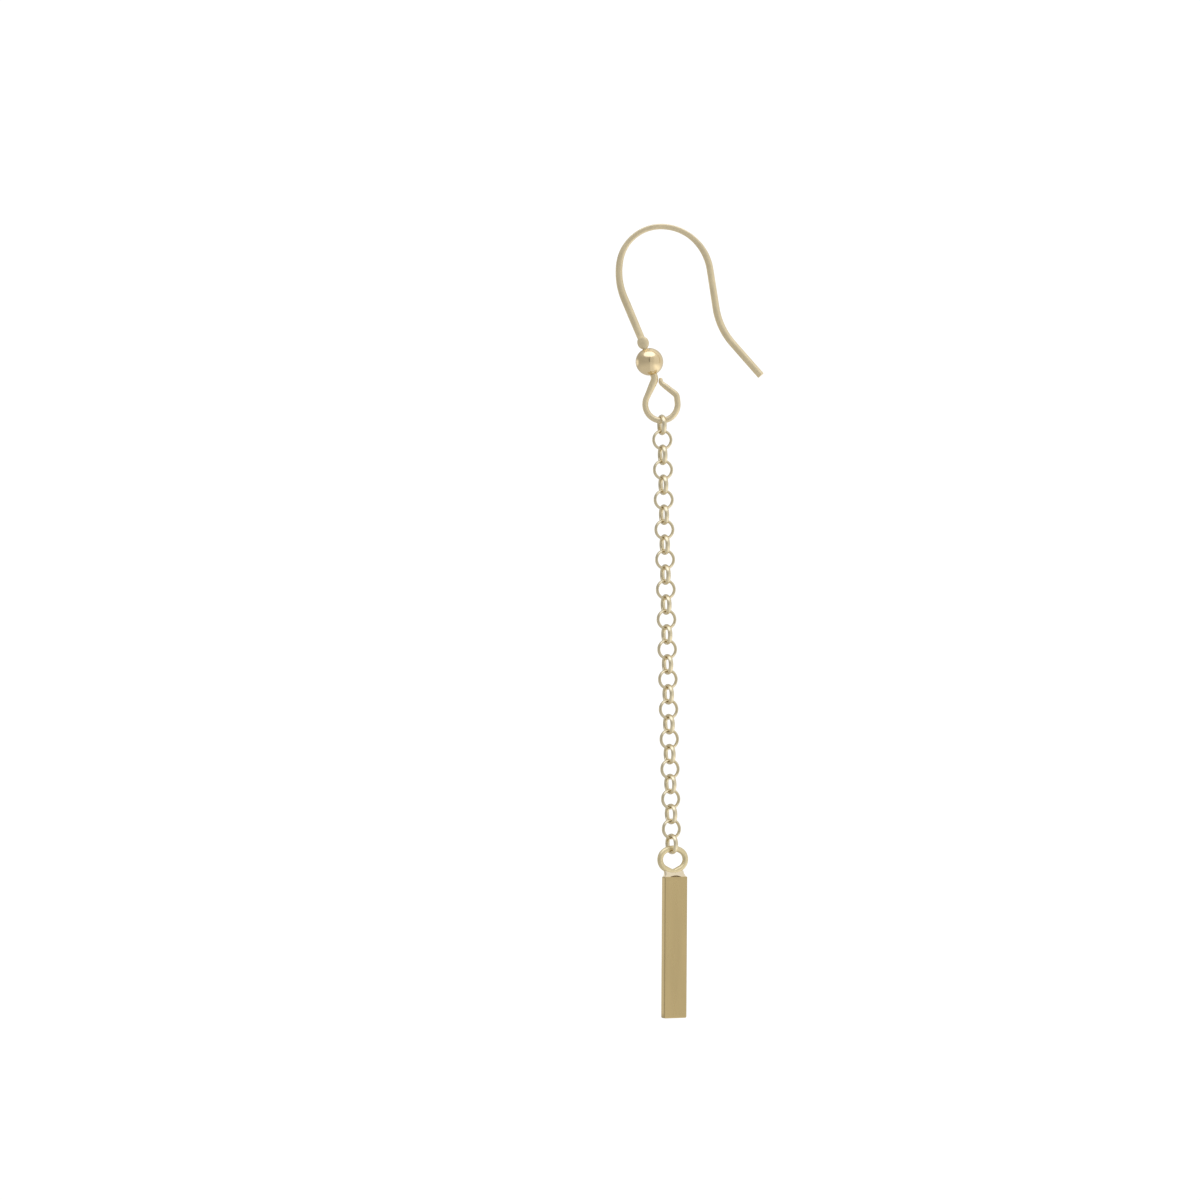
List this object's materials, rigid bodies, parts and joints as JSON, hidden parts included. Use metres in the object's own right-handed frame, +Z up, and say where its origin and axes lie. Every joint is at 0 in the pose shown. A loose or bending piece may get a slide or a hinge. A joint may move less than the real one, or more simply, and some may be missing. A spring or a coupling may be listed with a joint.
{
  "type": "bar drop earring",
  "caption": "Drop earring: a bent ear wire with a round bead, a fine chain of round domed links and a slim flat bar that swings on its ring.",
  "frame": {"origin": "middle of the wire at the top of the ear wire's arch, where it hangs in the ear piercing", "axes": "+Z up, against the way the earring hangs; +X from the front arm of the ear wire towards its tail; +Y across the ear wire's plane, away from the viewer of its side"},
  "size_m": [0.0146, 0.0028, 0.0796],
  "materials": {
    "wire_gold": "yellow gold, polished",
    "bead_gold": "yellow gold, polished",
    "chain_gold": "yellow gold, polished",
    "bar_gold": "yellow gold, polished, with a faint lengthwise brushed grain"
  },
  "bodies": {
    "upper": {"ear_hook": "wire_gold", "bead": "bead_gold", "link_1": "chain_gold", "link_2": "chain_gold", "link_3": "chain_gold", "link_4": "chain_gold", "link_5": "chain_gold", "link_6": "chain_gold", "link_7": "chain_gold", "link_8": "chain_gold", "link_9": "chain_gold", "link_10": "chain_gold", "link_11": "chain_gold", "link_12": "chain_gold", "link_13": "chain_gold", "link_14": "chain_gold", "link_15": "chain_gold", "link_16": "chain_gold", "link_17": "chain_gold", "link_18": "chain_gold", "link_19": "chain_gold", "link_20": "chain_gold", "link_21": "chain_gold", "link_22": "chain_gold", "link_23": "chain_gold", "link_24": "chain_gold", "link_25": "chain_gold", "link_26": "chain_gold", "link_27": "chain_gold", "link_28": "chain_gold", "link_29": "chain_gold"},
    "drop": {"bar": "bar_gold"}
  },
  "joints": [
    {"name": "bar_swing", "type": "hinge", "parent": "upper", "child": "drop", "pos_m": [-0.00027, 0, -0.06219], "axis": [0.891, 0.454, 0], "range_deg": [-90, 90]}
  ]
}
